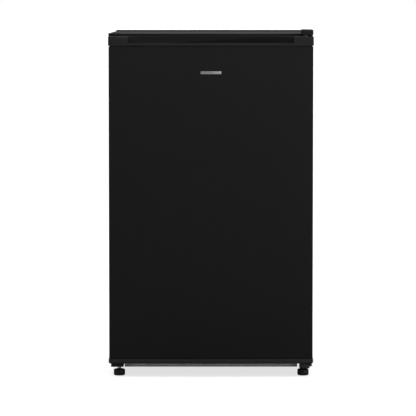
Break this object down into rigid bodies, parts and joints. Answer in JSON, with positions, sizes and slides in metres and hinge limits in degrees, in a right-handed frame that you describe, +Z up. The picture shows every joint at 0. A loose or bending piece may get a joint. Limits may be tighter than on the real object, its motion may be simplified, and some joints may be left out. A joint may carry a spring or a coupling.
{
  "type": "mini fridge",
  "caption": "Free-standing counter-height one-door refrigerator with a hinged door, inner shelves, door shelves, a crisper drawer and levelling feet.",
  "frame": {"origin": "on the floor, under the middle of the whole object", "axes": "+Z up, the door faces -Y, the door's hinge is on the +X side"},
  "size_m": [0.505, 0.54, 0.855],
  "materials": {
    "black_textured_steel": "matt black powder coat with a fine grain",
    "black_painted_steel": "matt black paint",
    "black_plastic": "fine-grained black moulding",
    "worktop_plastic": "grained black moulding",
    "foot_plastic": "smooth black moulding",
    "white_plastic": "white, half gloss",
    "knob_plastic": "light grey",
    "clear_plastic": "clear, faintly blue",
    "nylon": "natural nylon",
    "foam": "rigid foam",
    "gasket_vinyl": "soft dark grey vinyl",
    "satin_metal": "satin, brushed",
    "zinc_steel": "zinc coated",
    "dark_steel": "black paint",
    "compressor_enamel": "black gloss enamel",
    "condenser_enamel": "black enamel",
    "bare_aluminium": "mill finish",
    "copper": "bare copper",
    "rubber": "black rubber",
    "lamp_glass": "clear lamp",
    "shelf_glass": "tempered, green at the edge"
  },
  "bodies": {
    "cabinet": {"back_panel": "zinc_steel", "base_plate": "zinc_steel", "bottom_bracket_screws": "zinc_steel", "bottom_front_rail": "zinc_steel", "bottom_hinge_bracket": "dark_steel", "bottom_hinge_pin": "dark_steel", "compressor_grommets": "rubber", "compressor_rail": "zinc_steel", "compressor_shell": "compressor_enamel", "condenser_clips": "foot_plastic", "condenser_tube": "condenser_enamel", "condenser_wires": "condenser_enamel", "door_switch_body": "white_plastic", "drain_tray": "foot_plastic", "evaporator_plate": "bare_aluminium", "filter_drier": "copper", "hinge_blank_cover": "worktop_plastic", "hinge_cover": "worktop_plastic", "inner_liner": "white_plastic", "insulation_foam": "foam", "lamp_bulb": "lamp_glass", "lamp_cover": "clear_plastic", "left_foot_bracket": "black_plastic", "mains_gland": "foot_plastic", "rear_feet": "foot_plastic", "relay_box": "foot_plastic", "shelf_glass_crisper": "shelf_glass", "shelf_glass_lower": "shelf_glass", "shelf_glass_upper": "shelf_glass", "shelf_trims_crisper": "white_plastic", "shelf_trims_lower": "white_plastic", "shelf_trims_upper": "white_plastic", "side_panel_left": "black_painted_steel", "side_panel_right": "black_painted_steel", "suction_tube": "copper", "thermostat_housing": "white_plastic", "top_front_rail": "black_painted_steel", "top_hinge_pin": "dark_steel", "top_hinge_plate": "dark_steel", "top_hinge_screws": "zinc_steel", "worktop": "worktop_plastic"},
    "door": {"badge_plate": "satin_metal", "balcony_lower": "clear_plastic", "balcony_middle": "clear_plastic", "balcony_upper": "clear_plastic", "door_bottom_cap": "black_plastic", "door_bushes": "nylon", "door_foam": "foam", "door_gasket": "gasket_vinyl", "door_liner": "white_plastic", "door_skin": "black_textured_steel", "door_top_cap": "black_plastic"},
    "dairy_flap": {"dairy_flap": "clear_plastic"},
    "crisper_drawer": {"crisper_drawer": "clear_plastic"},
    "thermostat_knob": {"thermostat_knob": "knob_plastic"},
    "switch_plunger": {"door_switch_plunger": "knob_plastic"},
    "left_front_foot": {"foot_pad_left": "foot_plastic", "foot_stud_left": "zinc_steel"},
    "right_front_foot": {"foot_pad_right": "foot_plastic", "foot_stud_right": "zinc_steel"}
  },
  "joints": [
    {"name": "door_hinge", "type": "hinge", "parent": "cabinet", "child": "door", "pos_m": [0.228, -0.245, 0.4], "axis": [0, 0, 1], "range_deg": [0, 130]},
    {"name": "dairy_flap_hinge", "type": "hinge", "parent": "door", "child": "dairy_flap", "pos_m": [0, -0.2, 0.68], "axis": [1, 0, 0], "range_deg": [0, 85]},
    {"name": "crisper_slide", "type": "slide", "parent": "cabinet", "child": "crisper_drawer", "axis": [0, -1, 0], "range_m": [0, 0.025]},
    {"name": "thermostat_turn", "type": "hinge", "parent": "cabinet", "child": "thermostat_knob", "pos_m": [0.158, 0.015, 0.731], "axis": [-1, 0, 0], "range_deg": [0, 270]},
    {"name": "door_switch_slide", "type": "slide", "parent": "cabinet", "child": "switch_plunger", "axis": [0, -1, 0], "range_m": [0, 0.005]},
    {"name": "left_foot_screw", "type": "slide", "parent": "cabinet", "child": "left_front_foot", "axis": [0, 0, -1], "range_m": [0, 0.01]},
    {"name": "right_foot_screw", "type": "slide", "parent": "cabinet", "child": "right_front_foot", "axis": [0, 0, -1], "range_m": [0, 0.01]}
  ],
  "couplings": [
    {"joint": "door_switch_slide", "follows": "door_hinge", "m_per_rad": 0.0022015}
  ]
}
